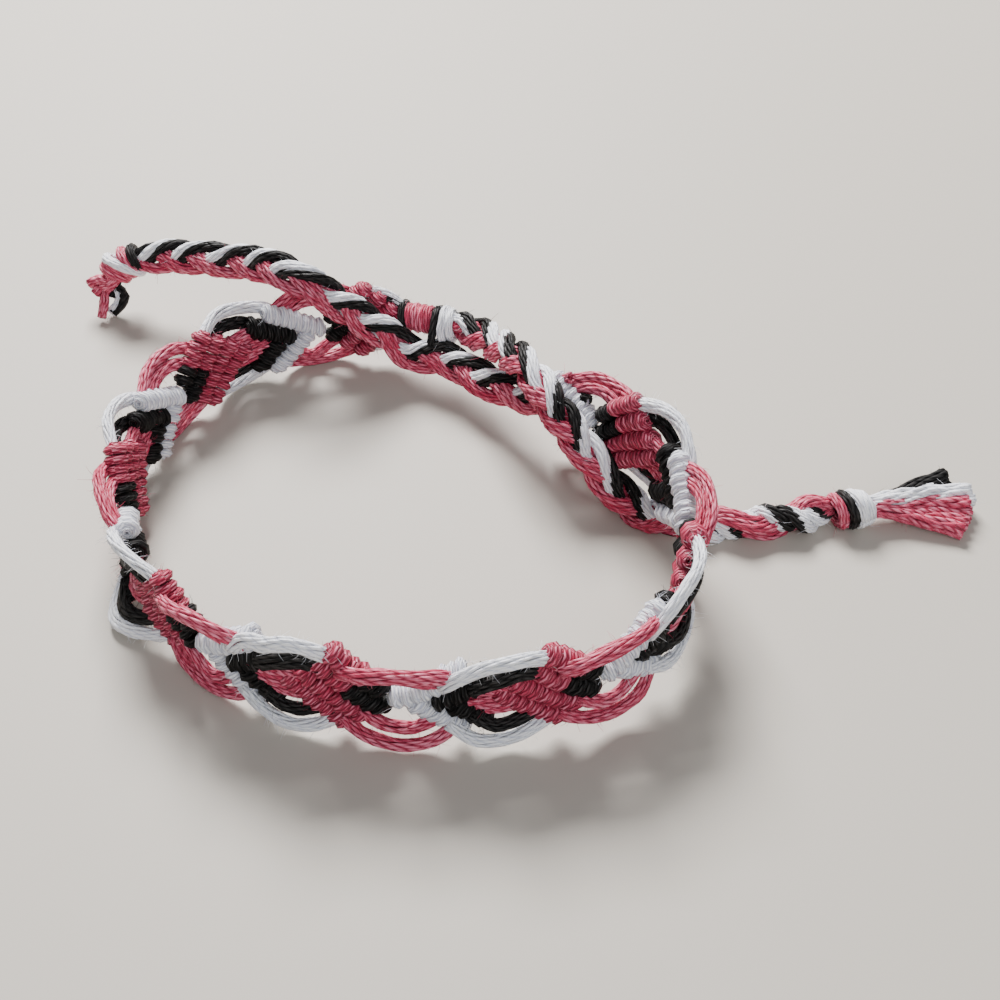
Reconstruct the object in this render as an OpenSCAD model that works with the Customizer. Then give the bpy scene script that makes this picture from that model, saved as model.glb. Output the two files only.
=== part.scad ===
// Knotted friendship bracelet: an openwork band of knotted threads that stands on its lower edge,
// closed by two braided ties. Each tie starts at one end of the band, passes through one joining
// knot and ends in an end knot with a short tassel. Millimetres, +Z up, the surface at z = 0.

/* [Thread] */
// Thickness of one free thread
thread_d = 1.3; // [1.2:0.05:1.4]
// Thickness of the knotted cloth
cloth_t = 2.4; // [2.2:0.1:2.6]

/* [Pattern] */
// Length of one repeat of the pattern, from one diamond to the next
repeat_len = 19.5; // [19:0.5:21]
// Length of one knot along the band
knot_len = 3.1; // [3:0.05:3.3]
// Width of one knot across the band
knot_wid = 2.3; // [2.2:0.05:2.4]
// Furthest reach of the free edge threads from the middle of the band
half_width = 5.8; // [5.6:0.05:6]

/* [Ties] */
// Thickness of a braided tie
tie_d = 2.8; // [2.6:0.05:2.85]
// Width of the joining knot along the ties
joint_w = 4.2; // [3.8:0.1:4.4]
// Thickness of the threads wound round the ties at the joining knot
wrap_t = 0.85; // [0.7:0.05:0.95]
// Thickness of an end knot
end_knot_d = 4.2; // [3.8:0.1:4.4]

/* [Hidden] */

// Shape of the loop, one row for each diamond from the band's left end to its right end, and a last
// row one repeat further on: turn to the next diamond in degrees, outward lean of the band in degrees,
// lift off the surface, where the right tie runs under the band
TURN = 0;
LEAN = 1;
LIFT = 2;
LOOP = [
    [46, 10, 0],
    [42, 8, 0],
    [38, 8, 0],
    [37, 3, 0],
    [22, -3, 0],
    [69, -1, 0.5],
    [50, 4, 2.8],
    [20, 8, 3.4],
    [0, 8, -1.6]
];
// Middle of the first diamond, and the heading of the band there in degrees
LOOP_START = [-5.7, 27.5];
LOOP_HEADING = 185.5;

// Routes of the ties from the band's ends to the end knots. The left tie leaves the band's right end,
// climbs over the band's top edge and comes down behind it. The right tie leaves the band's left end,
// passes over the other tie and runs on the surface, under the lifted part of the band.
LEFT_ROUTE = [
    [15, 11.7, 6.5], [13.3, 13.6, 6], [11, 15.7, 5.3], [8.8, 17.9, 4.6], [6.8, 19.9, 4.3],
    [4.4, 22.1, 4.3], [2.4, 23, 4], [0.3, 23.95, 3.7], [-1.8, 24.5, 5], [-3.6, 24.6, 6.8], [-5.8, 24.8, 8.4],
    [-8, 25, 10.2], [-10.2, 25, 12], [-12.4, 25.8, 13], [-14.8, 27.9, 12.7], [-18.2, 30.8, 11.5],
    [-21.6, 33.2, 10.2], [-25, 35.2, 9.1], [-28.4, 36.9, 8.2], [-31.2, 37.8, 7.5], [-33.4, 38.1, 6.8]
];
RIGHT_ROUTE = [
    [0.9, 27.1, 6.4], [2, 26.6, 6.6], [3.4, 26, 6.8], [5.7, 24.9, 7.1], [7.7, 22.9, 7.5],
    [9.3, 20.4, 8.3], [10.7, 17.7, 9.3], [12.2, 14.7, 10.3], [13.7, 11.6, 10.7], [15.2, 8.6, 10.2],
    [17.2, 6, 8.6], [19.4, 4.2, 6.2], [21.8, 2.4, 3.6], [24.6, 0.6, 1.6], [27.6, -0.8, 1.4], [31, -1.4, 1.4],
    [34.2, -1.6, 1.4], [37.4, -1.6, 1.4], [40.4, -0.9, 1.4], [43.2, 0, 1.5], [45, 0.5, 1.9]
];
// Tips of the tassels' locks. The left tassel stands on the surface under its knot, the right one lies
LEFT_TIPS = [[-37.9, 34.7, 0.7], [-39.7, 37.2, 3.2], [-39.2, 36.2, 0.8], [-36.4, 35, 0.8], [-38.2, 38.6, 0.9]];
RIGHT_TIPS = [[56.4, 3.9, 1.4], [58.6, 2.2, 1.2], [59.4, 0.6, 1], [59.2, -0.9, 0.8], [57.8, -1.9, 0.8]];
// The joining knot lies round these points of the two routes
LEFT_JOINT = 6;
RIGHT_JOINT = 2;
// Clearance between the ties and the threads wound round them
joint_gap = 0.2;

last_row = len(LOOP) - 2;
thread_r = thread_d / 2;
tie_r = tie_d / 2;
tie_sides = 8;
band_end = last_row * repeat_len + 11;
half_t = cloth_t / 2;
// Free threads lie a little outside the middle of the cloth
thread_out = 0.3;
// The edge threads leave the knots at edge_end from the band's middle line and bow out by loop_bow
edge_end = 3.65;
loop_bow = (half_width - thread_r - edge_end) / sin(60);
// Places along one repeat, from the middle of its diamond: the tips of the white and the black V
white_tip = 5.5;
black_tip = 9.1;
// How far a row of knots laps over the next, and how far its crest reaches into its last knots
knot_lap = 1.22;
crest_share = 0.3;

// Point and heading after going a way along an arc of the loop
function along(p, row, way) =
    let (
        h = p[2],
        r = repeat_len * 180 / (PI * LOOP[row][TURN]),
        g = h + way * LOOP[row][TURN] / repeat_len
    )
    [p[0] + r * (sin(g) - sin(h)), p[1] - r * (cos(g) - cos(h)), g];

// The middle of each diamond, with the band's heading there
DIAMONDS = [
    for (i = 0, p = [LOOP_START[0], LOOP_START[1], LOOP_HEADING]; i <= last_row;
         p = along(p, i, repeat_len), i = i + 1) p
];

// Place of the band's middle line at s, measured from the middle of the first diamond
function row_at(s) = max(0, min(last_row, floor(s / repeat_len)));
function line_at(s) = along(DIAMONDS[row_at(s)], row_at(s), s - row_at(s) * repeat_len);

// Lean or lift at s, blended between the diamonds
function blend_at(s, column) =
    let (
        i = row_at(s),
        t = max(0, s / repeat_len - i)
    )
    LOOP[i][column] + (LOOP[i + 1][column] - LOOP[i][column]) * t;

// A point of the band: s along it, v up its face from the middle, n outwards from the cloth's middle
function on_band(s, v, n) =
    let (
        p = line_at(s),
        lean = blend_at(s, LEAN),
        out = [sin(p[2]), -cos(p[2])],
        side = v * sin(lean) + n * cos(lean),
        rest = half_width * cos(lean) + thread_out * abs(sin(lean))
    )
    [
        p[0] + out[0] * side,
        p[1] + out[1] * side,
        blend_at(s, LIFT) + rest + v * cos(lean) - n * sin(lean)
    ];

// A closed solid round a few corner points
module pillow(points) {
    hull() polyhedron(points, [[for (i = [0 : len(points) - 1]) i]]);
}

// A row of knots from one [s, v] to another, rounded to one long cushion. Each knot is a diamond
// whose sides run along the row and across it, towards the row beside it
module knot_row(from, to, rising) {
    along_row = [knot_len, rising ? knot_wid : -knot_wid] / 4 * knot_lap;
    across_row = [knot_len, rising ? -knot_wid : knot_wid] / 4 * knot_lap;
    outline = [from - along_row - across_row, from - along_row + across_row,
               to + along_row + across_row, to + along_row - across_row];
    crest = [from - along_row * crest_share, to + along_row * crest_share];
    pillow([
        for (q = outline) on_band(q[0], q[1], 0),
        for (side = [-1, 1])
            for (q = crest) on_band(q[0], q[1], side * half_t)
    ]);
}

// Faces of two triangles between each pair of neighbouring rings of n points
function side_faces(n, count) = [
    for (i = [0 : count - 2])
        for (k = [0 : n - 1])
            let (a = i * n + k, b = i * n + (k + 1) % n)
            each [[a, b, b + n], [a, b + n, a + n]]
];

// A tube through a list of rings of points, closed at both ends
module skin(rings) {
    n = len(rings[0]);
    count = len(rings);
    polyhedron(
        [for (ring = rings) each ring],
        concat(
            [[for (k = [n - 1 : -1 : 0]) k]],
            side_faces(n, count),
            [[for (k = [0 : n - 1]) (count - 1) * n + k]]
        )
    );
}

// Direction of a route at its point i
function unit(v) = v / norm(v);
function heading(route, i) = unit(route[min(i + 1, len(route) - 1)] - route[max(i - 1, 0)]);

// A ring of points round p, square to the direction d
function ring_at(p, d, r, sides) =
    let (
        across = unit(cross(d, [0, 0, 1])),
        up = cross(across, d)
    )
    [
        for (k = [0 : sides - 1])
            let (a = 360 * (k + 0.5) / sides)
            p + r * (across * cos(a) + up * sin(a))
    ];

// A free thread on the band from one [s, v] to another, bowed away from the straight line
module thread(from, to, bow, steps = 3, sides = 5) {
    skin([
        for (i = [0 : steps])
            let (
                t = i / steps,
                s = from[0] + (to[0] - from[0]) * t,
                v = from[1] + (to[1] - from[1]) * t + bow * sin(180 * t)
            )
            [
                for (k = [0 : sides - 1])
                    let (a = 360 * k / sides + 90 * sign(bow))
                    on_band(s, v + thread_r * sin(a), thread_out + thread_r * cos(a))
            ]
    ]);
}

// A diamond of four rows of four knots round the place s
module diamond(s) {
    for (row = [-1.5 : 1.5]) {
        middle = [s + row * knot_len / 2, row * knot_wid / 2];
        half_row = [knot_len, -knot_wid] * 0.75;
        knot_row(middle - half_row, middle + half_row, false);
    }
}

// A V of two rows of knots that opens along the band, with its tip at s
module vee(s, arms) {
    for (rising = [false, true]) {
        step = [knot_len, rising ? knot_wid : -knot_wid] / 2;
        knot_row([s, 0], [s, 0] + arms * step, rising);
    }
}

// The free threads between the diamond at s and the white V
module pink_loops(s) {
    for (side = [-1, 1]) {
        thread([s + 0.6, side * edge_end], [s + white_tip + 4.2, side * edge_end], side * loop_bow);
        thread([s + 2, side * 2.4], [s + white_tip + 2.6, side * 2.1], side * 0.7, 2, 4);
    }
}

// The free threads between the V shapes and the next diamond at s
module white_loops(s) {
    before = s - repeat_len;
    for (side = [-1, 1]) {
        thread([before + white_tip + 5, side * edge_end], [s - 0.4, side * edge_end], side * loop_bow);
        thread([before + black_tip + 3.2, side * 2.5], [s - 1.9, side * 2.4], side * 0.85, 2, 4);
    }
}

// The pink threads that cross from the black V to the tip of the next diamond at s
module pink_neck(s) {
    pillow([
        for (n = [-thread_r, thread_r])
            for (q = [[black_tip - repeat_len + 0.8, 1.3], [black_tip - repeat_len + 2.6, 2], [-4, 0.9]])
                for (side = [-1, 1]) on_band(s + q[0], side * q[1], n)
    ]);
}

// The threads of one end of the band, drawn together into the first ring of a tie
module gathered_end(route, s, reach, way) {
    pillow(concat(
        ring_at(route[0], heading(route, 0), tie_r, tie_sides),
        [for (v = [-reach, reach]) for (n = [-0.6, 0.6]) on_band(s, v, n)]
    ));
    for (side = [-1, 1]) {
        near = [s - way, side * (reach + 1)];
        far = [s + way * 0.6, side * 0.5];
        thread(way > 0 ? near : far, way > 0 ? far : near, side * 0.3);
    }
}

// Pierced band: eight diamonds with a white and a black V between them, and the free threads
module knotted_band() {
    color("palevioletred")
    union() {
        for (i = [0 : last_row]) {
            diamond(i * repeat_len);
            vee(i * repeat_len + white_tip, 3);
            pink_loops(i * repeat_len);
        }
        for (i = [1 : last_row]) {
            vee((i - 1) * repeat_len + black_tip, 2);
            white_loops(i * repeat_len);
            pink_neck(i * repeat_len);
        }
        for (side = [-1, 1]) {
            thread([-5, side * 0.6], [-0.4, side * edge_end], side * 1);
            thread([-5, side * 0.3], [-1.9, side * 2.4], side * 0.5);
            thread([band_end - 3, side * 3.8], [band_end - 0.8, side * 0.8], side * 0.5);
        }
        gathered_end(RIGHT_ROUTE, -4.6, 0.9, -1);
        gathered_end(LEFT_ROUTE, band_end - 3, 1.4, 1);
    }
}

// A braided tie as a plain tube along its route
module tie(route) {
    skin([for (i = [0 : len(route) - 1]) ring_at(route[i], heading(route, i), tie_r, tie_sides)]);
}

// Tie from the band's right end to the left tassel
module left_tie() {
    color("palevioletred") tie(LEFT_ROUTE);
}

// Tie from the band's left end to the right tassel
module right_tie() {
    color("palevioletred") tie(RIGHT_ROUTE);
}

// Turns of thread wound round both ties, a ring of four ridges with a flat-sided hole
module joining_knot() {
    left = LEFT_ROUTE[LEFT_JOINT];
    right = RIGHT_ROUTE[RIGHT_JOINT];
    d = heading(RIGHT_ROUTE, RIGHT_JOINT);
    apart = right - left - d * ((right - left) * d);
    w = unit(apart);
    u = cross(d, w);
    turns = 4;
    sides = 14;
    inner_r = (tie_r + joint_gap) / cos(180 / sides);
    // Profile of the ring: [place along the ties, radius], out over the ridges and back inside
    profile = concat(
        [for (i = [0 : 2 * turns])
            [joint_w * (i / (2 * turns) - 0.5), inner_r + wrap_t * (i % 2 == 0 ? 0.55 : 1)]],
        [[joint_w / 2, inner_r], [-joint_w / 2, inner_r]]
    );
    n = len(profile);
    color("black")
    polyhedron(
        [for (k = [0 : sides - 1])
            let (
                a = 360 * (k + 0.5) / sides,
                middle = (left + right) / 2 + w * (cos(a) > 0 ? 0.5 : -0.5) * norm(apart)
            )
            each [for (q = profile) middle + d * q[0] + (w * cos(a) + u * sin(a)) * q[1]]
        ],
        [for (k = [0 : sides - 1])
            for (j = [0 : n - 1])
                let (
                    a = k * n + j,
                    b = k * n + (j + 1) % n,
                    c = (k + 1) % sides * n + (j + 1) % n,
                    e = (k + 1) % sides * n + j
                )
                each [[a, b, c], [a, c, e]]
        ]
    );
}

// End knot of a tie, three turns of thread, with locks of loose thread to the given tips
module tassel(route, tips) {
    last = len(route) - 1;
    d = heading(route, last);
    from = route[last];
    turn_w = end_knot_d * 0.3;
    for (i = [0 : 2])
        pillow(concat(
            ring_at(from + d * i * turn_w, d, i == 0 ? tie_r : end_knot_d * 0.4, tie_sides),
            ring_at(from + d * (i + 0.5) * turn_w, d, end_knot_d / 2, tie_sides),
            ring_at(from + d * (i + 1) * turn_w, d, end_knot_d * 0.4, tie_sides)
        ));
    root = from + d * 2 * turn_w;
    for (tip = tips)
        pillow(concat(
            ring_at(root, unit(tip - root), 1, 6),
            ring_at(tip, unit(tip - root), thread_r, 6)
        ));
}

// Tassel of the tie that crosses to the left
module left_tassel() {
    color("palevioletred") tassel(LEFT_ROUTE, LEFT_TIPS);
}

// Tassel of the tie that crosses to the right
module right_tassel() {
    color("palevioletred") tassel(RIGHT_ROUTE, RIGHT_TIPS);
}

knotted_band();
left_tie();
right_tie();
joining_knot();
left_tassel();
right_tassel();
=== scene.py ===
# %% [markdown]
# # A knotted friendship bracelet
# The bracelet is made of eight lengths of six-strand cotton floss: four pink, two white, two black.
# They are knotted into an openwork band, braided into two ties at its ends, and left loose in two tassels.
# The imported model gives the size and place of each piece. This file builds the threads on it.

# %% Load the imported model
import math
import random

import bmesh
import bpy
import numpy as np
from mathutils import Matrix, Vector


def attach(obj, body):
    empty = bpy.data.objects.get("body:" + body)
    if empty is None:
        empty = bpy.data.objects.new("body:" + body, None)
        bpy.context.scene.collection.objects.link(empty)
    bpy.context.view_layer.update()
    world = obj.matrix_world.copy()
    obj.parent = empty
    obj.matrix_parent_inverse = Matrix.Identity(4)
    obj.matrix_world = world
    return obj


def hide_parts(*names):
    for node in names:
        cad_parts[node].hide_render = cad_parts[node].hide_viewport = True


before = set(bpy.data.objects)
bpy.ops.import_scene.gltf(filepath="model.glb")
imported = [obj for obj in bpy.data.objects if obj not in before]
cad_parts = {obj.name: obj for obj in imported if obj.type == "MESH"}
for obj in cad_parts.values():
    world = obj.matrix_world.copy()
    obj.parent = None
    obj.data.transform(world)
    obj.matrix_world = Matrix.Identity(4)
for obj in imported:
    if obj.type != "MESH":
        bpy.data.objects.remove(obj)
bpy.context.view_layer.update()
print("nodes:", sorted(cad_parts))

MM = 0.001
TURN_ROUND = 2 * math.pi
# every uneven detail is drawn from here, so the bracelet comes out the same each time
chance = random.Random(5)

# %% [markdown]
# ## The camera
# The photo looks down at about 44 degrees from close by. The camera comes first.

# %% Set the camera
camera = bpy.data.objects.new("photo_camera", bpy.data.cameras.new("photo_camera"))
bpy.context.collection.objects.link(camera)
camera.data.sensor_width = 36
camera.data.lens = 54
camera.data.clip_start = 0.005
camera.location = (0.0103, -0.1123, 0.1118)
camera.rotation_euler = (math.radians(46), 0, 0)
bpy.context.scene.camera = camera
print("camera at", tuple(round(x, 3) for x in camera.location))

# %% [markdown]
# ## Bending straight thread
# Every thread starts straight, along X, and is then bent along a path. A path is a row of close
# points with a sideways and an upward direction at each, so a vertex at (x, y, z) goes x along it,
# y to its side and z up from it.

# %% A smooth path through a few points
def smooth(points, steps=8):
    """A curve that goes through every point and bends evenly between them, in steps to each gap."""
    p = np.array(points, float)
    p = np.vstack([2 * p[0] - p[1], p, 2 * p[-1] - p[-2]])
    t = np.linspace(0, 1, steps, endpoint=False)[:, None]
    rows = []
    for a, b, c, d in zip(p[:-3], p[1:-2], p[2:-1], p[3:]):
        rows.append(0.5 * (2 * b + (c - a) * t + (2 * a - 5 * b + 4 * c - d) * t ** 2
                           + (3 * b - a - 3 * c + d) * t ** 3))
    return np.vstack(rows + [p[-2:-1]])


def path_of(points, up=(0, 0, 1)):
    """The points with their distance from the start, and the two directions across the path."""
    p = np.array(points, float)
    along = np.gradient(p, axis=0)
    along /= np.linalg.norm(along, axis=1)[:, None]
    side = np.cross(np.array(up, float), along)
    side /= np.linalg.norm(side, axis=1)[:, None]
    far = np.concatenate([[0], np.cumsum(np.linalg.norm(np.diff(p, axis=0), axis=1))])
    return {"p": p, "far": far, "side": side, "up": np.cross(along, side), "length": far[-1]}


def bend(xyz, path):
    """Straight places, carried to their places along the path."""
    x = xyz[:, 0]
    place, side, up = (np.stack([np.interp(x, path["far"], path[key][:, i]) for i in range(3)], axis=1)
                       for key in ("p", "side", "up"))
    return place + side * xyz[:, 1:2] + up * xyz[:, 2:3]


quarter = path_of(smooth([(1, 0, 0), (0.7071, 0.7071, 0), (0, 1, 0)]))
print("a quarter circle of 1 mm radius measures", round(quarter["length"], 2), "mm")

# %% [markdown]
# ## The routes of the two ties
# They are the same routes as in the solid model, in millimetres.

# %% Write the routes down
LEFT_ROUTE = [
    (15, 11.7, 6.5), (13.3, 13.6, 6), (11, 15.7, 5.3), (8.8, 17.9, 4.6), (6.8, 19.9, 4.3),
    (4.4, 22.1, 4.3), (2.4, 23, 4), (0.3, 23.95, 3.7), (-1.8, 24.5, 5), (-3.6, 24.6, 6.8),
    (-5.8, 24.8, 8.4), (-8, 25, 10.2), (-10.2, 25, 12), (-12.4, 25.8, 13), (-14.8, 27.9, 12.7),
    (-18.2, 30.8, 11.5), (-21.6, 33.2, 10.2), (-25, 35.2, 9.1), (-28.4, 36.9, 8.2), (-31.2, 37.8, 7.5),
    (-33.4, 38.1, 6.8),
]
RIGHT_ROUTE = [
    (0.9, 27.1, 6.4), (2, 26.6, 6.6), (3.4, 26, 6.8), (5.7, 24.9, 7.1), (7.7, 22.9, 7.5),
    (9.3, 20.4, 8.3), (10.7, 17.7, 9.3), (12.2, 14.7, 10.3), (13.7, 11.6, 10.7), (15.2, 8.6, 10.2),
    (17.2, 6, 8.6), (19.4, 4.2, 6.2), (21.8, 2.4, 3.6), (24.6, 0.6, 1.6), (27.6, -0.8, 1.4),
    (31, -1.4, 1.4), (34.2, -1.6, 1.4), (37.4, -1.6, 1.4), (40.4, -0.9, 1.4), (43.2, 0, 1.5), (45, 0.5, 1.9),
]
# the points of the two routes that the joining knot holds together
LEFT_JOINT, RIGHT_JOINT = LEFT_ROUTE[6], RIGHT_ROUTE[2]
left_path = path_of(smooth(LEFT_ROUTE))
right_path = path_of(smooth(RIGHT_ROUTE))
print("ties: left %.1f mm, right %.1f mm" % (left_path["length"], right_path["length"]))

# %% [markdown]
# ## Cotton floss as a material
# Floss is six soft plies that lie side by side, and each ply is two finer yarns twisted together. The
# short bright dashes on real floss are the places where a yarn comes to the top. On thread that is
# modelled ply by ply the shader adds only the yarns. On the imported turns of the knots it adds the
# plies as well. Both come from one node group that reads the thread's own UV map, where U runs along
# the thread in millimetres and V once round it.

# %% Build the shared node group
def math_node(tree, kind, *values):
    node = tree.nodes.new("ShaderNodeMath")
    node.operation = kind
    for i, value in enumerate(values):
        if isinstance(value, (int, float)):
            node.inputs[i].default_value = value
        else:
            tree.links.new(value, node.inputs[i])
    return node.outputs[0]


def crown(tree, place):
    """1 in the middle of each lane and 0 at its edges."""
    lane = math_node(tree, "FRACT", place)
    across = math_node(tree, "SUBTRACT", math_node(tree, "MULTIPLY", lane, 2.0), 1.0)
    return math_node(tree, "SUBTRACT", 1.0, math_node(tree, "MULTIPLY", across, across))


# how fine the fibres are along the thread and across a yarn, and how far they shift from ply to ply
FIBRE_ALONG, FIBRE_ACROSS, FIBRE_SHIFT = 1.4, 4.0, 40.0
FIBRE_HEIGHT = 0.35


def yarn_group():
    group = bpy.data.node_groups.new("floss_yarns", "ShaderNodeTree")
    for name in ("Plies", "Lay", "Ply Relief", "Yarns", "Twist"):
        group.interface.new_socket(name, in_out="INPUT", socket_type="NodeSocketFloat")
    for name in ("Height", "Crest", "Streak"):
        group.interface.new_socket(name, in_out="OUTPUT", socket_type="NodeSocketFloat")
    given = group.nodes.new("NodeGroupInput").outputs
    result = group.nodes.new("NodeGroupOutput").inputs
    uv = group.nodes.new("ShaderNodeUVMap")
    uv.uv_map = "floss"
    split = group.nodes.new("ShaderNodeSeparateXYZ")
    group.links.new(uv.outputs[0], split.inputs[0])
    along, around = split.outputs[0], split.outputs[1]
    tone = group.nodes.new("ShaderNodeAttribute")
    tone.attribute_name = "tone"
    ply_place = math_node(group, "ADD", math_node(group, "MULTIPLY", around, given["Plies"]),
                          math_node(group, "MULTIPLY", along, given["Lay"]))
    seed = group.nodes.new("ShaderNodeCombineXYZ")
    group.links.new(math_node(group, "FLOOR", ply_place), seed.inputs[0])
    group.links.new(tone.outputs["Fac"], seed.inputs[1])
    ply = group.nodes.new("ShaderNodeTexWhiteNoise")
    ply.noise_dimensions = "2D"
    group.links.new(seed.outputs[0], ply.inputs["Vector"])
    in_ply = math_node(group, "MULTIPLY", math_node(group, "FRACT", ply_place), given["Yarns"])
    twisted = math_node(group, "MULTIPLY", along, given["Twist"])
    yarn_place = math_node(group, "ADD", math_node(group, "ADD", in_ply, twisted), ply.outputs["Value"])
    ply_crown, yarn_crown = crown(group, ply_place), crown(group, yarn_place)
    spot = group.nodes.new("ShaderNodeCombineXYZ")
    group.links.new(math_node(group, "MULTIPLY", along, FIBRE_ALONG), spot.inputs[0])
    group.links.new(math_node(group, "MULTIPLY", yarn_place, FIBRE_ACROSS), spot.inputs[1])
    group.links.new(math_node(group, "MULTIPLY", tone.outputs["Fac"], FIBRE_SHIFT), spot.inputs[2])
    fibre = group.nodes.new("ShaderNodeTexNoise")
    fibre.inputs["Scale"].default_value = 1.0
    fibre.inputs["Detail"].default_value = 3.0
    group.links.new(spot.outputs[0], fibre.inputs["Vector"])
    groove = math_node(group, "MULTIPLY", given["Ply Relief"], math_node(group, "SUBTRACT", 1.0, ply_crown))
    ply_part = math_node(group, "SUBTRACT", 1.0, groove)
    yarn_part = math_node(group, "ADD", math_node(group, "MULTIPLY", yarn_crown, 0.75), 0.25)
    crest = math_node(group, "MULTIPLY", ply_part, yarn_part)
    fibre_relief = math_node(group, "MULTIPLY", fibre.outputs["Fac"], FIBRE_HEIGHT)
    group.links.new(math_node(group, "ADD", crest, fibre_relief), result["Height"])
    group.links.new(crest, result["Crest"])
    streak = math_node(group, "ADD", math_node(group, "MULTIPLY", fibre.outputs["Fac"], 0.7),
                       math_node(group, "MULTIPLY", ply.outputs["Value"], 0.3))
    group.links.new(streak, result["Streak"])
    return group


floss_yarns = yarn_group()
print("node group:", floss_yarns.name)

# %% [markdown]
# ## Six materials from one group
# Each colour has three shades: a painted shade that darkens the grooves between plies and yarns, the
# dyed colour itself on their sides, and a nearly white painted highlight where a yarn comes to the top.
# A packed and a loose material of each colour differ only in the numbers that they give to the group.

# %% Make the six floss materials
# for each colour: the painted shade of the grooves, the thread's own dyed colour, and the painted highlight of
# the yarns' tops
FLOSS = {
    "pink": {"painted_shade": (0.12, 0.002, 0.012), "main": (0.54, 0.026, 0.085), "light": (0.95, 0.33, 0.45)},
    "white": {"painted_shade": (0.52, 0.54, 0.68), "main": (0.94, 0.95, 1.0), "light": (1.0, 1.0, 1.0)},
    "black": {"painted_shade": (0.001, 0.001, 0.001), "main": (0.006, 0.0055, 0.0055), "light": (0.05, 0.047, 0.046)},
}
# plies round the thread, how far they turn in a millimetre, how deep the grooves between them are,
# the yarns in a ply, how far those turn, and the height of the bump in metres
LAYS = {"packed": (7.0, 0.30, 0.8, 1.0, -0.95, 0.00016), "loose": (1.0, 0.0, 0.0, 2.0, -0.87, 0.00009)}
SHEEN = {"pink": 0.08, "white": 0.2, "black": 0.02}
SPECULAR = {"pink": 0.4, "white": 0.5, "black": 0.15}


def mixed(tree, share, first, second):
    mix = tree.nodes.new("ShaderNodeMix")
    mix.data_type = "RGBA"
    tree.links.new(share, mix.inputs["Factor"])
    for socket, colour in ((mix.inputs["A"], first), (mix.inputs["B"], second)):
        if isinstance(colour, tuple):
            socket.default_value = (*colour, 1)
        else:
            tree.links.new(colour, socket)
    return mix.outputs["Result"]


def mapped(tree, value, low, high, to_low, to_high):
    node = tree.nodes.new("ShaderNodeMapRange")
    for name, number in (("From Min", low), ("From Max", high), ("To Min", to_low), ("To Max", to_high)):
        node.inputs[name].default_value = number
    tree.links.new(value, node.inputs["Value"])
    return node.outputs["Result"]


def floss_material(colour, packing):
    material = bpy.data.materials.new(f"{colour}_floss_{packing}")
    material.use_nodes = True
    tree = material.node_tree
    shader = tree.nodes["Principled BSDF"]
    group = tree.nodes.new("ShaderNodeGroup")
    group.node_tree = floss_yarns
    for name, number in zip(("Plies", "Lay", "Ply Relief", "Yarns", "Twist"), LAYS[packing]):
        group.inputs[name].default_value = number
    crest, streak, shades = group.outputs["Crest"], group.outputs["Streak"], FLOSS[colour]
    # painted shade: where the crest is low, in the grooves between plies and yarns, the colour goes dark
    # towards the painted shade
    body = mixed(tree, mapped(tree, crest, 0.1, 0.75, 0.1, 1.0), shades["painted_shade"], shades["main"])
    # painted highlight: the tops of the yarns, where the streaks run bright, go towards the nearly white
    # highlight colour
    glint = math_node(tree, "MULTIPLY", mapped(tree, crest, 0.55, 0.95, 0.0, 1.0),
                      mapped(tree, streak, 0.35, 0.6, 0.0, 0.8))
    body = mixed(tree, glint, body, shades["light"])
    tree.links.new(body, shader.inputs["Base Color"])
    tree.links.new(mapped(tree, streak, 0.3, 0.8, 0.55, 0.38), shader.inputs["Roughness"])
    bump = tree.nodes.new("ShaderNodeBump")
    bump.inputs["Strength"].default_value = 1.0
    bump.inputs["Distance"].default_value = LAYS[packing][5]
    tree.links.new(group.outputs["Height"], bump.inputs["Height"])
    tree.links.new(bump.outputs["Normal"], shader.inputs["Normal"])
    shader.inputs["Sheen Weight"].default_value = SHEEN[colour]
    shader.inputs["Sheen Roughness"].default_value = 0.4
    shader.inputs["Sheen Tint"].default_value = (*shades["light"], 1)
    shader.inputs["Specular IOR Level"].default_value = SPECULAR[colour]
    return material


MATERIALS = {(colour, packing): floss_material(colour, packing) for colour in FLOSS for packing in LAYS}
print("materials:", [m.name for m in MATERIALS.values()])

# %% [markdown]
# ## One straight length of floss
# A circle is spun round the floss's axis while it moves along it, which sweeps one ply with a slow
# twist. Eight or nine thin plies make a thread here, more than the real six, because worn floss parts
# into finer ones. Each is a little uneven.

# %% A straight floss
def unwrapped(values):
    """Turns round the thread, kept next to each other on a face that crosses from 1 back to 0."""
    if max(values) - min(values) > 0.5:
        return [v + 1 if v < 0.5 else v for v in values]
    return values


PLY_SIDES = 5


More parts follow.
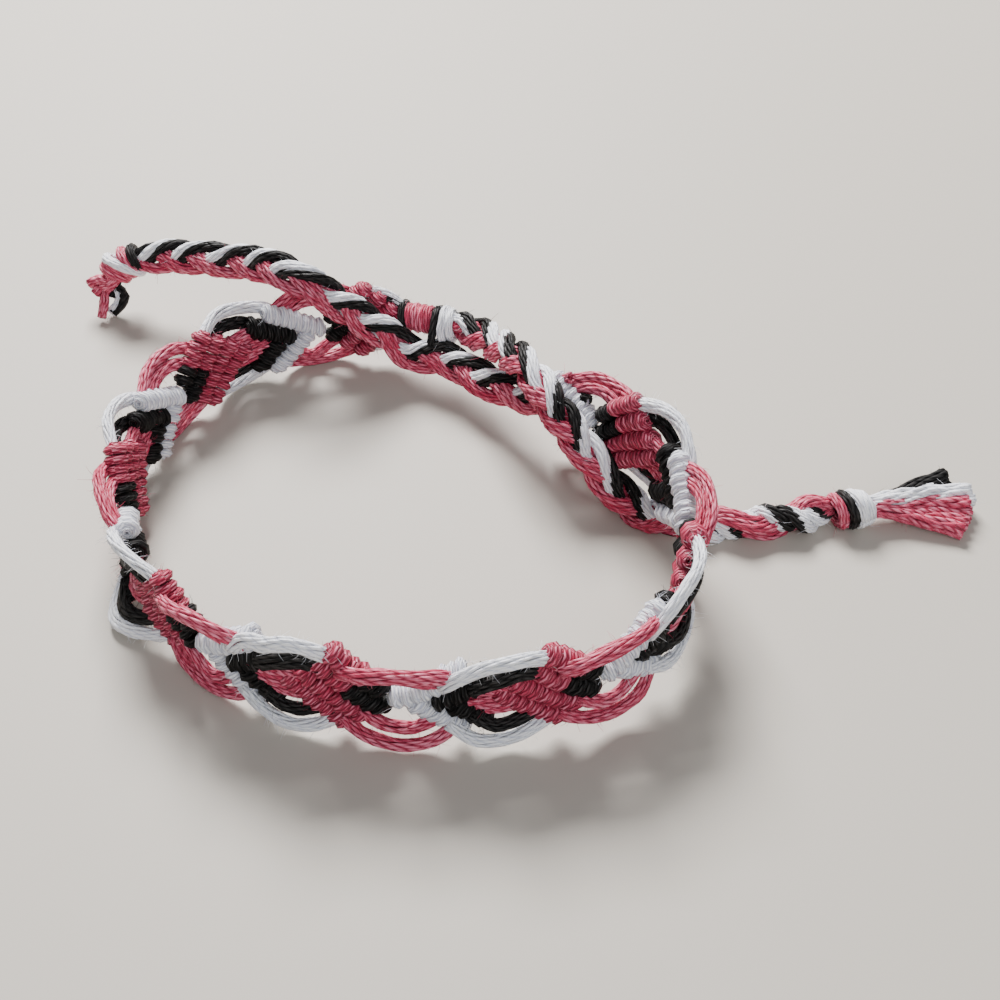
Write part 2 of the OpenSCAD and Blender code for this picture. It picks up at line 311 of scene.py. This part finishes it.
def straight_floss(length, plies=9, ply_r=0.2, spread=0.52, twist_every=25.0, step=0.7, uneven=0.05):
    """Plies of radius ply_r, at spread from the middle, which turn round it once in twist_every mm."""
    bm = bmesh.new()
    uv = bm.loops.layers.uv.new("floss")
    tone = bm.verts.layers.float.new("tone")
    steps = max(4, round(length / step))
    for k in range(plies):
        a = TURN_ROUND * k / plies
        place = Matrix.Translation((0, spread * math.cos(a), spread * math.sin(a)))
        ring = bmesh.ops.create_circle(bm, segments=PLY_SIDES, radius=ply_r * chance.uniform(0.92, 1.12),
                                       matrix=place @ Matrix.Rotation(math.pi / 2, 4, "Y"))["verts"]
        edges = list({e for v in ring for e in v.link_edges})
        first_face, first_vert = len(bm.faces), len(bm.verts) - PLY_SIDES
        bmesh.ops.spin(bm, geom=edges, cent=(0, 0, 0), axis=(1, 0, 0), dvec=(length / steps, 0, 0),
                       angle=-TURN_ROUND * length / twist_every, steps=steps, use_merge=False,
                       use_duplicate=False)
        bm.faces.ensure_lookup_table()
        bm.verts.ensure_lookup_table()
        for face in bm.faces[first_face:]:
            rounds = []
            for loop in face.loops:
                x, y, z = loop.vert.co
                turned = -TURN_ROUND * x / twist_every
                here = math.atan2(z - spread * math.sin(a + turned), y - spread * math.cos(a + turned))
                rounds.append((here - turned) / TURN_ROUND % 1)
            for loop, v in zip(face.loops, unwrapped(rounds)):
                loop[uv].uv = (loop.vert.co.x + 1.7 * k, v)
        wave, phase = chance.uniform(0.8, 1.6), chance.uniform(0, 6)
        for v in bm.verts[first_vert:]:
            v[tone] = k * 0.137
            v.co.y += uneven * math.sin(wave * v.co.x + phase)
            v.co.z += uneven * math.cos(1.3 * wave * v.co.x + 2 * phase)
    bmesh.ops.holes_fill(bm, edges=[e for e in bm.edges if e.is_boundary], sides=0)
    mesh = bpy.data.meshes.new("straight_floss")
    bm.to_mesh(mesh)
    bm.free()
    return mesh


# %% [markdown]
# ## Pieces made of many threads
# A piece starts empty and takes a bent copy of one thread after another. Each copy gets its own mood
# and its own shift along the pattern, so no two threads look alike.

# %% A new piece, and laying a copy of a mesh into it
def new_piece():
    bm = bmesh.new()
    bm.loops.layers.uv.new("floss")
    bm.verts.layers.float.new("tone")
    return bm


def lay_copy(bm, mesh, place, material=0):
    """Add the mesh to the piece, with each of its places carried by the function place."""
    first_vert, first_face = len(bm.verts), len(bm.faces)
    bm.from_mesh(mesh)
    bm.verts.ensure_lookup_table()
    bm.faces.ensure_lookup_table()
    tone, uv = bm.verts.layers.float["tone"], bm.loops.layers.uv["floss"]
    verts, faces = bm.verts[first_vert:], bm.faces[first_face:]
    mood, shift = chance.random(), chance.uniform(0, 50)
    for v, co in zip(verts, place(np.array([v.co for v in verts]))):
        v.co = co
        v[tone] += mood
    for face in faces:
        face.material_index = material
        face.smooth = True
        for loop in face.loops:
            loop[uv].uv.x += shift


def lay_floss(bm, path, material=0, widen=0.0, flat=1.0, **floss):
    mesh = straight_floss(path["length"], **floss)

    def place(co):
        t = co[:, 0:1] / path["length"]
        co[:, 1:] *= 1 + widen * t
        co[:, 2] *= flat
        return bend(co, path)
    lay_copy(bm, mesh, place, material)
    bpy.data.meshes.remove(mesh)


# %% [markdown]
# ## Fuzz
# Cotton is spun from short fibres, and some of their ends stand out from the thread as a soft halo.
# Each is a thin three-sided cone with a curl, and every piece grows its own on its finished threads.

# %% One fibre, and growing many
FIBRE_THICK, FIBRE_TIP = 0.024, 0.011
FIBRE_SHORTEST, FIBRE_LONGEST = 0.25, 1.25
CLEAR_OF_FLOOR = 0.1


def fuzz_fibre():
    bm = bmesh.new()
    bm.loops.layers.uv.new("floss")
    bm.verts.layers.float.new("tone")
    bmesh.ops.create_cone(bm, cap_ends=True, segments=3, radius1=FIBRE_THICK, radius2=FIBRE_TIP, depth=1,
                          matrix=Matrix.Translation((0.5, 0, 0)) @ Matrix.Rotation(math.pi / 2, 4, "Y"))
    sides = [e for e in bm.edges if abs(e.verts[0].co.x - e.verts[1].co.x) > 0.5]
    bmesh.ops.subdivide_edges(bm, edges=sides, cuts=1)
    mesh = bpy.data.meshes.new("fuzz_fibre")
    bm.to_mesh(mesh)
    bm.free()
    return mesh


FIBRE = fuzz_fibre()


def unit(v):
    return v / np.linalg.norm(v)


def any_way():
    return unit(np.array([chance.gauss(0, 1) for _ in range(3)]))


def middle_of(face):
    return tuple(math.fsum(v.co[i] for v in face.verts) / len(face.verts) for i in range(3))


def grow_fuzz(bm, count):
    """Fibres on faces picked by chance. Each leaves its face and curls away or back to the thread."""
    bm.normal_update()
    # spin leaves the faces in no fixed order, so they are sorted by place before any is picked
    faces = sorted(bm.faces, key=middle_of)
    spots = [(np.array(middle_of(f)), np.array(f.normal), f.material_index)
             for f in chance.sample(faces, min(count, len(faces)))]
    for root, out, material in spots:
        heading = unit(out + 0.8 * any_way())
        curl = 1.3 * any_way() - 0.6 * out
        long = chance.uniform(FIBRE_SHORTEST, FIBRE_LONGEST)
        side = unit(np.cross(heading, (0.3, 0.5, 0.8)))

        def place(co):
            t = co[:, 0:1]
            return (root + long * (heading * t + 0.5 * curl * t ** 2) + side * co[:, 1:2]
                    + np.cross(heading, side) * co[:, 2:3])
        if root[2] + long * min(0, heading[2] + 0.5 * curl[2]) > CLEAR_OF_FLOOR:
            lay_copy(bm, FIBRE, place, material)


print("one fibre has", len(FIBRE.polygons), "faces")

# %% [markdown]
# ## From threads to an object
# The threads are made in millimetres, and Blender works in metres. A finished piece says which solid
# it stands for, what it rides on and which finish it has. What lies on the floor is kept just above it.

# %% Finish a piece
FLOOR_GAP = 0.03


def finish_piece(bm, name, materials, nodes, fuzz=0):
    bmesh.ops.recalc_face_normals(bm, faces=bm.faces)
    grow_fuzz(bm, fuzz)
    for v in bm.verts:
        v.co.z = max(v.co.z, FLOOR_GAP)
        v.co *= MM
    bmesh.ops.recalc_face_normals(bm, faces=bm.faces)
    mesh = bpy.data.meshes.new(name)
    bm.to_mesh(mesh)
    bm.free()
    for material in materials:
        mesh.materials.append(material)
    piece = bpy.data.objects.new(name, mesh)
    bpy.context.collection.objects.link(piece)
    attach(piece, "root")
    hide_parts(*nodes)
    print(name, "has", sum(len(p.vertices) - 2 for p in mesh.polygons), "triangles")
    return piece


# %% [markdown]
# ## The braided ties
# Each tie is a round braid of four strands, and a strand is two threads side by side. The two pink
# strands turn round each other on one side and the two black and white ones on the other side, the
# other way round, and they hook into each other in the middle. So a thread is a circle drawn out along
# the route, and the whole braid is rolled about its own middle, most of all near the right end knot.

# %% Braid the ties
LOOSE = [MATERIALS[colour, "loose"] for colour in FLOSS]
COLOURS = list(FLOSS)
# places in the turn of the four threads on one side of the braid; the other side is a quarter later
THREAD_PLACES = (-0.07, 0.07, 0.43, 0.57)
# a side's circle: how far it is from the braid's middle, its half width and its half depth
SIDE_OUT, SIDE_WIDE, SIDE_DEEP = 0.48, 0.98, 0.78
THIN_END = 0.4


def braid(route, name, node, turn, start, pink_side, thin_until, roll, dark_side):
    """turn is the length of one turn in mm, and roll the turns of the whole braid along the route."""
    bm = new_piece()
    x = np.linspace(0, route["length"], int(route["length"] / 0.4))
    thin = np.interp(x, (thin_until, thin_until + 2, route["length"] - 2, route["length"]),
                     (THIN_END, 1, 1, THIN_END))
    rolled = TURN_ROUND * np.interp(x, *roll)
    threads = [(-1, place, "pink") for place in THREAD_PLACES]
    threads += [(1, place + 0.25, colour) for place, colour in zip(THREAD_PLACES, dark_side)]
    for side, place, colour in threads:
        a = TURN_ROUND * (x / turn + place + start) + 0.3 * np.sin(0.45 * x)
        y = -pink_side * side * (SIDE_OUT + SIDE_WIDE * np.cos(a)) * thin
        z = SIDE_DEEP * np.sin(a) * thin
        swing = np.stack([x, y * np.cos(rolled) - z * np.sin(rolled),
                          y * np.sin(rolled) + z * np.cos(rolled)], axis=1)
        lay_floss(bm, path_of(bend(swing, route)), COLOURS.index(colour), plies=8, ply_r=0.21, spread=0.47,
                  twist_every=18.0, step=0.8)
    return finish_piece(bm, name, LOOSE, [node], fuzz=1500)


left_braid = braid(left_path, "left_braid", "left_tie", turn=11.4, start=0.3, pink_side=1, thin_until=0.0,
                   roll=((0, 20), (-0.14, -0.17)), dark_side=("white", "black", "white", "black"))
right_braid = braid(right_path, "right_braid", "right_tie", turn=9.6, start=0.25, pink_side=-1, thin_until=4.6,
                    roll=((0, 44, 62), (0.16, 0.16, 1.9)), dark_side=("black", "white", "white", "black"))

# %% [markdown]
# ## The joining knot
# Turns of floss hold the ties together: a black one and a broad pink band of four round one tie, then
# a black one that also catches the other tie, and two white ones. A turn follows a line like a running
# track, two half circles with straight sides.

# %% Wind the joining knot
TRACK_STEPS = 36


def track(middle, axis, long_way, apart, radius, slant):
    """A closed line round the axis. The slant lifts its ends and its sides along the axis."""
    across = np.cross(axis, long_way)
    a = np.linspace(0, TURN_ROUND, TRACK_STEPS + 1)
    shift = np.where(np.cos(a) > 0, 0.5, -0.5) * apart
    return (middle + np.outer(shift + radius * np.cos(a), long_way) + np.outer(radius * np.sin(a), across)
            + np.outer(slant[0] * np.cos(a) + slant[1] * np.sin(a), axis))


def closed_path(ring, axis):
    """A path whose first and last directions are the same, so that the thread's ends meet."""
    path = path_of(ring, up=axis)
    for key in ("side", "up"):
        path[key][0] = path[key][-1] = unit(path[key][0] + path[key][-1])
    return path


left_joint, right_joint = np.array(LEFT_JOINT, float), np.array(RIGHT_JOINT, float)
joint_axis = unit(np.array(RIGHT_ROUTE[3]) - np.array(RIGHT_ROUTE[0]))
apart = right_joint - left_joint
apart = apart - joint_axis * apart.dot(joint_axis)
bm = new_piece()
# where a turn is along the knot, its colour, how far it reaches to the other tie, and its radius
WRAPS = [
    (-4.5, "black", 0.0, 1.4), (-3.8, "pink", 0.0, 1.15), (-2.9, "pink", 0.0, 1.25), (-2.0, "pink", 0.0, 1.25),
    (-1.1, "pink", 0.0, 1.2), (0.0, "black", 0.55, 1.4), (0.9, "white", 0.22, 1.5), (1.65, "white", 0.1, 1.35),
]
WRAP_SLANT = (-0.3, 0.1)
for where, colour, both, radius in WRAPS:
    middle = right_joint - 0.5 * both * apart + joint_axis * where
    ring = track(middle, joint_axis, unit(apart), both * np.linalg.norm(apart), radius, WRAP_SLANT)
    lay_floss(bm, closed_path(ring, joint_axis), COLOURS.index(colour), plies=8, ply_r=0.17, spread=0.36,
              twist_every=20.0, flat=0.9)
joining_knot = finish_piece(bm, "joining_wraps", LOOSE, ["joining_knot"], fuzz=250)

# %% [markdown]
# ## The end knots and tassels
# Each tie ends in a knot of fat turns of floss. Behind it the eight threads come out loose, cut to
# about the same length, with their plies a little fanned.

# %% Tie the end knots and lay out the tassels
def end_knot(bm, centres, turns):
    """Turns of thread round a line. Each has its place along it, a colour, a radius and a slant."""
    line = path_of(smooth(centres))
    for where, colour, radius, slant in turns:
        middle, ahead = bend(np.array([[where, 0, 0], [where + 0.3, 0, 0]]), line)
        axis = unit(ahead - middle)
        level = unit(np.cross(axis, (0, 0, 1)))
        ring = track(middle, axis, level, 0.0, radius, slant)
        lay_floss(bm, closed_path(ring, axis), COLOURS.index(colour), plies=9, ply_r=0.2, spread=0.42,
                  twist_every=22.0)


BUNCH_RADIUS = 0.6


def tassel(bm, start, axis, ends, spread=0.45, widen=0.5):
    """Threads that leave the knot in a ring. Each has a colour and the points that it goes through."""
    side = unit(np.cross(axis, (0, 0, 1)))
    for i, (colour, *way) in enumerate(ends):
        a = TURN_ROUND * i / len(ends)
        root = start + (side * math.cos(a) + np.cross(side, axis) * math.sin(a)) * BUNCH_RADIUS
        points = smooth([root - axis * 2.0, root, root + axis * 0.9, *way])
        lay_floss(bm, path_of(points), COLOURS.index(colour), widen=widen, twist_every=40.0, ply_r=0.19,
                  spread=spread, uneven=0.09)


bm = new_piece()
end_knot(bm, [(42.5, -0.3, 1.4), (45, -0.1, 1.7), (47, 0.0, 2.0), (49.5, 0.3, 2.2)],
         ((3.2, "pink", 1.5, (0.5, 0)), (4.1, "black", 1.62, (0.6, 0)), (5.0, "white", 1.62, (0.6, 0)),
          (5.8, "white", 1.4, (0.5, 0))))
tassel(bm, np.array([49.1, 0.3, 2.1]), unit(np.array([1, 0.12, 0.02])), [
    ("pink", (54, -0.7, 1.4), (58.5, -2.2, 0.8)), ("pink", (54, 0.9, 2.1), (59.6, 1.2, 1.7)),
    ("white", (54, 1.3, 2.4), (60.3, 2.0, 1.2)), ("white", (54, 1.7, 2.7), (60.0, 2.7, 2.0)),
    ("black", (54, 2.6, 2.7), (57.6, 4.4, 2.6)), ("black", (54, 2.3, 2.1), (58.0, 3.9, 1.7)),
    ("pink", (54, 0.5, 1.5), (59.8, 0.3, 0.9)), ("pink", (54, -0.1, 1.4), (59.2, -0.9, 0.8)),
])
right_tassel = finish_piece(bm, "right_tassel_floss", LOOSE, ["right_tassel"], fuzz=500)

bm = new_piece()
end_knot(bm, [(-31.2, 37.8, 7.5), (-33.4, 38.1, 7.1), (-35.4, 38.1, 6.0), (-37.0, 37.7, 4.5),
              (-38.0, 37.2, 3.1)],
         ((2.6, "black", 1.4, (0.3, 0.2)), (3.3, "pink", 1.6, (0.6, -0.3)), (4.3, "white", 1.85, (1.0, -1.0)),
          (4.9, "pink", 1.6, (0.8, -0.6)), (5.8, "pink", 1.45, (0.4, -0.3))))
tassel(bm, np.array([-36.4, 37.7, 4.8]), unit(np.array([-0.55, -0.25, -0.8])), [
    ("white", (-37.3, 38.2, 3.4), (-37.8, 38.2, 2.4)), ("pink", (-38.6, 37.9, 4.1), (-39.8, 37.9, 3.4)),
    ("pink", (-38.7, 37.5, 4.4), (-39.7, 37.3, 3.9)), ("pink", (-38.3, 37.2, 3.5), (-39.1, 36.8, 2.8)),
    ("pink", (-37.9, 36.8, 2.8), (-38.0, 35.8, 1.7), (-38.2, 34.7, 0.7)),
    ("black", (-35.5, 36.9, 2.8), (-35.9, 36.4, 1.7), (-37.0, 35.6, 0.7)),
    ("black", (-36.8, 37.4, 3.0), (-37.2, 37.0, 2.2)),
    ("white", (-36.3, 37.2, 2.6), (-36.6, 36.5, 1.4), (-37.4, 35.8, 0.6)),
], spread=0.3, widen=0.2)
left_tassel = finish_piece(bm, "left_tassel_floss", LOOSE, ["left_tassel"], fuzz=350)

# %% [markdown]
# ## The two ties
# A tie has a fixed length and hangs limp like a cord, with its knot and tassel on it. Here the names of
# the two braids are printed.

print("cords:", left_braid.name, right_braid.name)

# %% [markdown]
# ## The flat band
# The band is knotted flat and bent round last. A place on it is (s, v, n): s along the band from the
# middle of its first diamond, v up its face, n outwards. These are the sizes of the solid model.

# %% The sizes of the pattern
REPEAT, KNOT_LEN, KNOT_WID = 19.5, 3.1, 2.3
WHITE_TIP, BLACK_TIP = 5.5, 9.1
DIAMOND_COUNT = 8
HALF_WIDTH, THREAD_OUT = 5.8, 0.3
# one row for each diamond: degrees to the next one, degrees that the band leans out, lift off the floor
LOOP = np.array([(46, 10, 0), (42, 8, 0), (38, 8, 0), (37, 3, 0), (22, -3, 0), (69, -1, 0.5), (50, 4, 2.8),
                 (20, 8, 3.4), (0, 8, -1.6)], float)
# x and y of the first diamond, and the heading of the band there in degrees
START = (-5.7, 27.5, 185.5)


def step_along(p, row, way):
    """Go along an arc of the loop from a place with a heading."""
    r = REPEAT / np.radians(LOOP[row, 0])
    g = p[2] + way * LOOP[row, 0] / REPEAT
    h, turned = np.radians(p[2]), np.radians(g)
    return np.array([p[0] + r * (np.sin(turned) - np.sin(h)), p[1] - r * (np.cos(turned) - np.cos(h)), g])


DIAMONDS = [np.array(START)]
for row in range(DIAMOND_COUNT - 1):
    DIAMONDS.append(step_along(DIAMONDS[-1], row, REPEAT))


def handmade(svn):
    """The band is knotted by hand: here a V sits late, there an edge stands higher or leans out."""
    s, v, n = svn.T
    high, low = np.clip(v / 3.5, 0, 1.3), np.clip(-v / 3.5, 0, 1.3)
    late, left_high, front_high, left_out = (np.exp(-((s - middle) / wide) ** 2) for middle, wide in (
        (77.5, 13), (72, 8), (97, 9), (52.5, 4)))
    return (s + 0.8 * late * (0.5 - 0.5 * np.cos(TURN_ROUND * s / REPEAT)),
            v + high * (0.3 + 0.9 * left_high + 0.4 * front_high), n + 2.2 * low * left_out)


def bent_round(svn):
    """Places on the flat band, carried to their places on the loop."""
    s, v, n = handmade(svn)
    rows = np.clip(np.floor(s / REPEAT).astype(int), 0, DIAMOND_COUNT - 1)
    share = np.maximum(0, s / REPEAT - rows)
    lean, lift = (LOOP[rows, c] + (LOOP[rows + 1, c] - LOOP[rows, c]) * share for c in (1, 2))
    lean = np.radians(lean)
    line = np.array([step_along(DIAMONDS[r], r, a - r * REPEAT) for r, a in zip(rows, s)])
    g = np.radians(line[:, 2])
    side = v * np.sin(lean) + n * np.cos(lean)
    rest = HALF_WIDTH * np.cos(lean) + THREAD_OUT * np.abs(np.sin(lean))
    return np.stack([line[:, 0] + np.sin(g) * side, line[:, 1] - np.cos(g) * side,
                     lift + rest + v * np.cos(lean) - n * np.sin(lean)], axis=1)


print("band of", DIAMOND_COUNT, "diamonds,", REPEAT * (DIAMOND_COUNT - 1), "mm from the first to the last")

# %% [markdown]
# ## One knot
# A knot is two turns of one thread round another. Each turn is a ring: a small circle spun once round,
# then pressed to an oval. It repeats hundreds of times, so it has few faces, and the material adds
# its plies.

# %% Make one turn of thread
RING_RADIUS, RING_THICK = 0.62, 0.5
RING_LENGTH = 5.4


def thread_turn(sides=6, steps=9):
    bm = bmesh.new()
    uv = bm.loops.layers.uv.new("floss")
    bm.verts.layers.float.new("tone")
    off_middle = Matrix.Translation((0, RING_RADIUS, 0))
    bmesh.ops.create_circle(bm, segments=sides, radius=RING_THICK, matrix=off_middle)
    bmesh.ops.spin(bm, geom=list(bm.edges), cent=(0, 0, 0), axis=(1, 0, 0), dvec=(0, 0, 0), angle=TURN_ROUND,
                   steps=steps, use_merge=True, use_duplicate=False)
    for face in bm.faces:
        ways, rounds = [], []
        for loop in face.loops:
            x, y, z = loop.vert.co
            ways.append(math.atan2(z, y) / TURN_ROUND % 1)
            rounds.append(math.atan2(x, math.hypot(y, z) - RING_RADIUS) / TURN_ROUND % 1)
        for loop, way, v in zip(face.loops, unwrapped(ways), unwrapped(rounds)):
            loop[uv].uv = (way * RING_LENGTH, v)
    mesh = bpy.data.meshes.new("thread_turn")
    bm.to_mesh(mesh)
    bm.free()
    return mesh


TURN_MESH = thread_turn()
print("one turn has", len(TURN_MESH.polygons), "faces")

# %% [markdown]
# ## Rows of knots
# Knots sit side by side in slanting rows. The two turns of a knot lean a little, as a pulled thread
# does, and no two are quite the same size. A smaller ring closes each end of a row, where the thread
# turns into it.

# %% Tie a row of knots
# how far the two turns of a knot are from its middle, and the place and size of the closing rings
TURN_APART, CLOSING_OUT, CLOSING_SIZE = 0.46, 0.8, 0.6


def ring_of_thread(bm, spot, rise, ahead, scale, size):
    """One turn at a spot of a row that climbs by rise from knot to knot."""
    run = unit(np.array([KNOT_LEN / 2, rise]))
    cross = np.array([-run[1], run[0]])
    wobble = [chance.gauss(0, 0.04) for _ in range(3)]
    size *= chance.uniform(0.95, 1.05)
    lean = math.radians(chance.gauss(14, 4))

    def place(co):
        x, y, z = co[:, 0] * scale, co[:, 1] * size, co[:, 2] * 1.15 * size
        x = x + y * math.tan(lean) + ahead
        return np.stack([spot[0] + wobble[0] + x * run[0] + y * cross[0],
                         spot[1] + wobble[1] + x * run[1] + y * cross[1], z + wobble[2]], axis=1)
    lay_copy(bm, TURN_MESH, place)


def knot_row(bm, spots, rise, scale=1.0):
    for spot in spots:
        ring_of_thread(bm, spot, rise, -TURN_APART, scale, scale)
        ring_of_thread(bm, spot, rise, TURN_APART, scale, scale)
    ring_of_thread(bm, spots[0], rise, -CLOSING_OUT, scale, CLOSING_SIZE * scale)
    ring_of_thread(bm, spots[-1], rise, CLOSING_OUT, scale, CLOSING_SIZE * scale)


# %% [markdown]
# ## The diamonds and the V shapes
# A diamond is four rows of knots, four to a row. At the corner that points ahead three knots are black,
# and the last one is left out, where the free threads open a gap. A white V and a black V, each with an
# upper and a lower arm, come between one diamond and the next.

# %% Knot the diamonds and the V shapes
# how far an arm of a V climbs from knot to knot
UPPER_RISE, LOWER_RISE = 0.88, 1.15
# colour, tip of the V, knots in an arm, their distance along the band, and their size
V_SHAPES = (("white", WHITE_TIP, 4, 1.6, 1.05), ("black", BLACK_TIP, 3, 1.65, 1.14))
band = {colour: new_piece() for colour in FLOSS}
for i in range(DIAMOND_COUNT):
    middle = i * REPEAT
    for r in range(4):
        row = [(middle + (r + k - 3) * KNOT_LEN / 2, (r - k) * KNOT_WID / 2) for k in range(4)]
        if r < 2:
            knot_row(band["pink"], row, -KNOT_WID / 2)
        else:
            knot_row(band["pink"], row[:2], -KNOT_WID / 2)
            knot_row(band["black"], row[2:3] if r == 3 else row[2:], -KNOT_WID / 2)
    for colour, tip, count, step, scale in V_SHAPES:
        if colour == "black" and i == DIAMOND_COUNT - 1:
            continue
        for side, rise in ((1, UPPER_RISE), (-1, LOWER_RISE)):
            shorter = 2 if side < 0 and i == DIAMOND_COUNT - 1 else 0
            arm = [(middle + tip + k * step, side * k * rise) for k in range(count - shorter)]
            knot_row(band[colour], arm if side > 0 else arm[1:], side * rise, scale)
print("knotted rows laid; faces:", {colour: len(bm.faces) for colour, bm in band.items()})

# %% [markdown]
# ## The free threads
# Between the knots the threads run free, in flat arches that give the band its open edge. They are
# real floss here, with every ply.

# %% Lay the free threads
# Each row is a colour and the thread's course: along the band from the diamond's middle, up, and out
AFTER_DIAMOND = [
    ("pink", (0.3, 2.5, 0.8), (2.6, 3.4, 1.5), (6.0, 3.8, 1.5), (8.6, 3.2, 1.1), (10.3, 2.5, 0.4)),
    ("pink", (1.9, 1.7, 0.4), (4.0, 2.7, 0.8), (6.6, 2.8, 0.8), (8.7, 2.0, 0.4)),
    ("pink", (0.3, -3.1, 0.5), (2.4, -4.4, 1.2), (5.4, -5.0, 1.4), (8.2, -4.5, 1.2), (10.3, -3.2, 0.4)),
    ("pink", (1.9, -1.8, 0.4), (3.8, -3.0, 0.8), (6.2, -3.6, 0.8), (8.7, -2.2, 0.3)),
]
BEFORE_NEXT = [
    ("white", (8.9, 1.9, 0.8), (10.8, 3.3, 1.2), (13.2, 4.2, 1.4), (15.6, 4.6, 1.2), (17.6, 4.1, 0.7),
     (19.3, 3.4, 0.1)),
    ("white", (9.4, -2.9, 0.7), (12.0, -4.2, 1.3), (15.0, -4.7, 1.4), (17.6, -4.1, 0.9), (19.3, -3.4, 0.2)),
    ("black", (11.6, 1.5, 0.8), (14.0, 2.5, 1.2), (16.2, 3.0, 1.0), (17.9, 2.5, 0.4)),
    ("black", (11.6, -1.8, 0.7), (14.0, -3.0, 1.0), (16.2, -2.9, 0.7), (17.8, -2.3, 0.2)),
    ("pink", (9.7, 0.6, 0.0), (12.8, 0.6, 0.1), (15.8, 0.4, 0.0)),
    ("pink", (9.7, -0.6, 0.0), (12.8, -0.6, 0.1), (15.8, -0.4, 0.0)),
    ("pink", (11.2, 1.3, 0.0), (14.0, 1.4, 0.2), (16.9, 1.1, 0.1)),
    ("pink", (11.2, -1.3, 0.0), (14.0, -1.4, 0.2), (16.9, -1.1, 0.1)),
]
FREE_FLATNESS = 0.85


def free_thread(colour, *course, from_s=0.0):
    """A thread through the points of its course, each moved a little, as no two arches are alike."""
    points = np.array(course, float) + [from_s, 0, 0]
    for point in points[1:-1]:
        point[1:] += chance.gauss(0, 0.12), chance.gauss(0, 0.08)
    lay_floss(band[colour], path_of(smooth(points, steps=5)), 1, flat=FREE_FLATNESS)


for i in range(DIAMOND_COUNT):
    for row in AFTER_DIAMOND:
        free_thread(*row, from_s=i * REPEAT)
    for row in BEFORE_NEXT if i < DIAMOND_COUNT - 1 else []:
        free_thread(*row, from_s=i * REPEAT)
print("free threads laid; faces:", {colour: len(bm.faces) for colour, bm in band.items()})

# %% [markdown]
# ## The two ends of the band
# At each end the threads draw together and go into a tie. The photo hides most of it, so they follow
# the shortest soft way from the last knots to the tie.

# %% Gather the threads at the two ends of the band
end = (DIAMOND_COUNT - 1) * REPEAT + 11
tip = end + 0.2
for side in (-1, 1):
    free_thread("white", (-5.6, side * 0.5, 0.2), (-2.9, side * 2.9, 0.6), (-0.3, side * 3.4, 0.1))
    free_thread("black", (-5.6, side * 0.3, 0.2), (-3.6, side * 1.9, 0.6), (-1.7, side * 2.4, 0.1))
    free_thread("pink", (-6.4, side * 0.4, 0.2), (-3.6, side * 0.7, 0.2))
    free_thread("pink", (end - 2.2, side * 3.6, 0.2), (end - 1, side * 2.6, 0.6), (tip, side * 0.5, 0.2))
    free_thread("black", (end - 5, side * 1.6, 0.2), (end - 2.4, side * 1.4, 0.5), (tip, side * 0.3, 0.2))
    free_thread("white", (end - 4, side * 0.8, -0.2), (end - 2, side * 1.1, -0.4), (tip, side * 0.2, -0.2))
print("the gathered threads end at", tip, "mm along the band")

# %% [markdown]
# ## Bending the band round
# Only now is the flat band bent into its loop, every place of every thread at once. Bending last is
# why the rows of knots keep their order. The three colours become three pieces.

# %% Bend the band round and finish it
# fibres on each piece, more where there is more thread
FUZZ = {"pink": 5400, "white": 5000, "black": 3000}
band_pieces = []
for colour, bm in band.items():
    bm.verts.ensure_lookup_table()
    for v, co in zip(bm.verts, bent_round(np.array([v.co for v in bm.verts]))):
        v.co = co
    finishes = [MATERIALS[colour, "packed"], MATERIALS[colour, "loose"]]
    band_pieces.append(finish_piece(bm, f"band_{colour}", finishes, ["knotted_band"],
                                    fuzz=FUZZ[colour]))
print("the band is", [piece.name for piece in band_pieces])

# %% [markdown]
# ## The floor and the light
# A plain pale floor. The light is a broad window behind the bracelet and a weak fill in front, as in
# the photo, so the near side of the band is in soft shade and the top edges shine.

# %% Lay the floor
FLOOR_REACH = 0.9
bm = bmesh.new()
bmesh.ops.create_grid(bm, x_segments=1, y_segments=1, size=FLOOR_REACH)
mesh = bpy.data.meshes.new("floor")
bm.to_mesh(mesh)
bm.free()
floor = bpy.data.objects.new("floor", mesh)
bpy.context.collection.objects.link(floor)
floor_material = bpy.data.materials.new("pale_floor")
floor_material.use_nodes = True
shader = floor_material.node_tree.nodes["Principled BSDF"]
shader.inputs["Base Color"].default_value = (0.52, 0.48, 0.42, 1)
shader.inputs["Roughness"].default_value = 0.6
mesh.materials.append(floor_material)
print("floor", 2 * FLOOR_REACH, "m across")

# %% [markdown]
# ## The lights
# The window is two fifths as wide as it is far away, which gives the shadow on the floor a soft edge.
# The room itself glows a little, so that the shaded side of the band still shows its threads.

# %% Set the lights
def area_light(name, place, size, power, colour):
    """A square light at a place, turned to the middle of the bracelet."""
    data = bpy.data.lights.new(name, "AREA")
    data.size = size
    data.energy = power
    data.color = colour
    lamp = bpy.data.objects.new(name, data)
    lamp.location = place
    lamp.rotation_euler = (-Vector(place)).to_track_quat("-Z", "Y").to_euler()
    bpy.context.collection.objects.link(lamp)


area_light("window", (-0.12, 0.50, 0.50), 0.28, 14.5, (1.0, 0.98, 0.97))
area_light("fill", (0.25, -0.6, 0.45), 0.6, 2.6, (0.95, 0.97, 1.0))
world = bpy.data.worlds.new("soft_room")
world.use_nodes = True
glow = world.node_tree.nodes["Background"]
glow.inputs["Color"].default_value = (0.85, 0.88, 0.92, 1)
glow.inputs["Strength"].default_value = 0.37
bpy.context.scene.world = world
print("lights:", [light.name for light in bpy.data.lights])
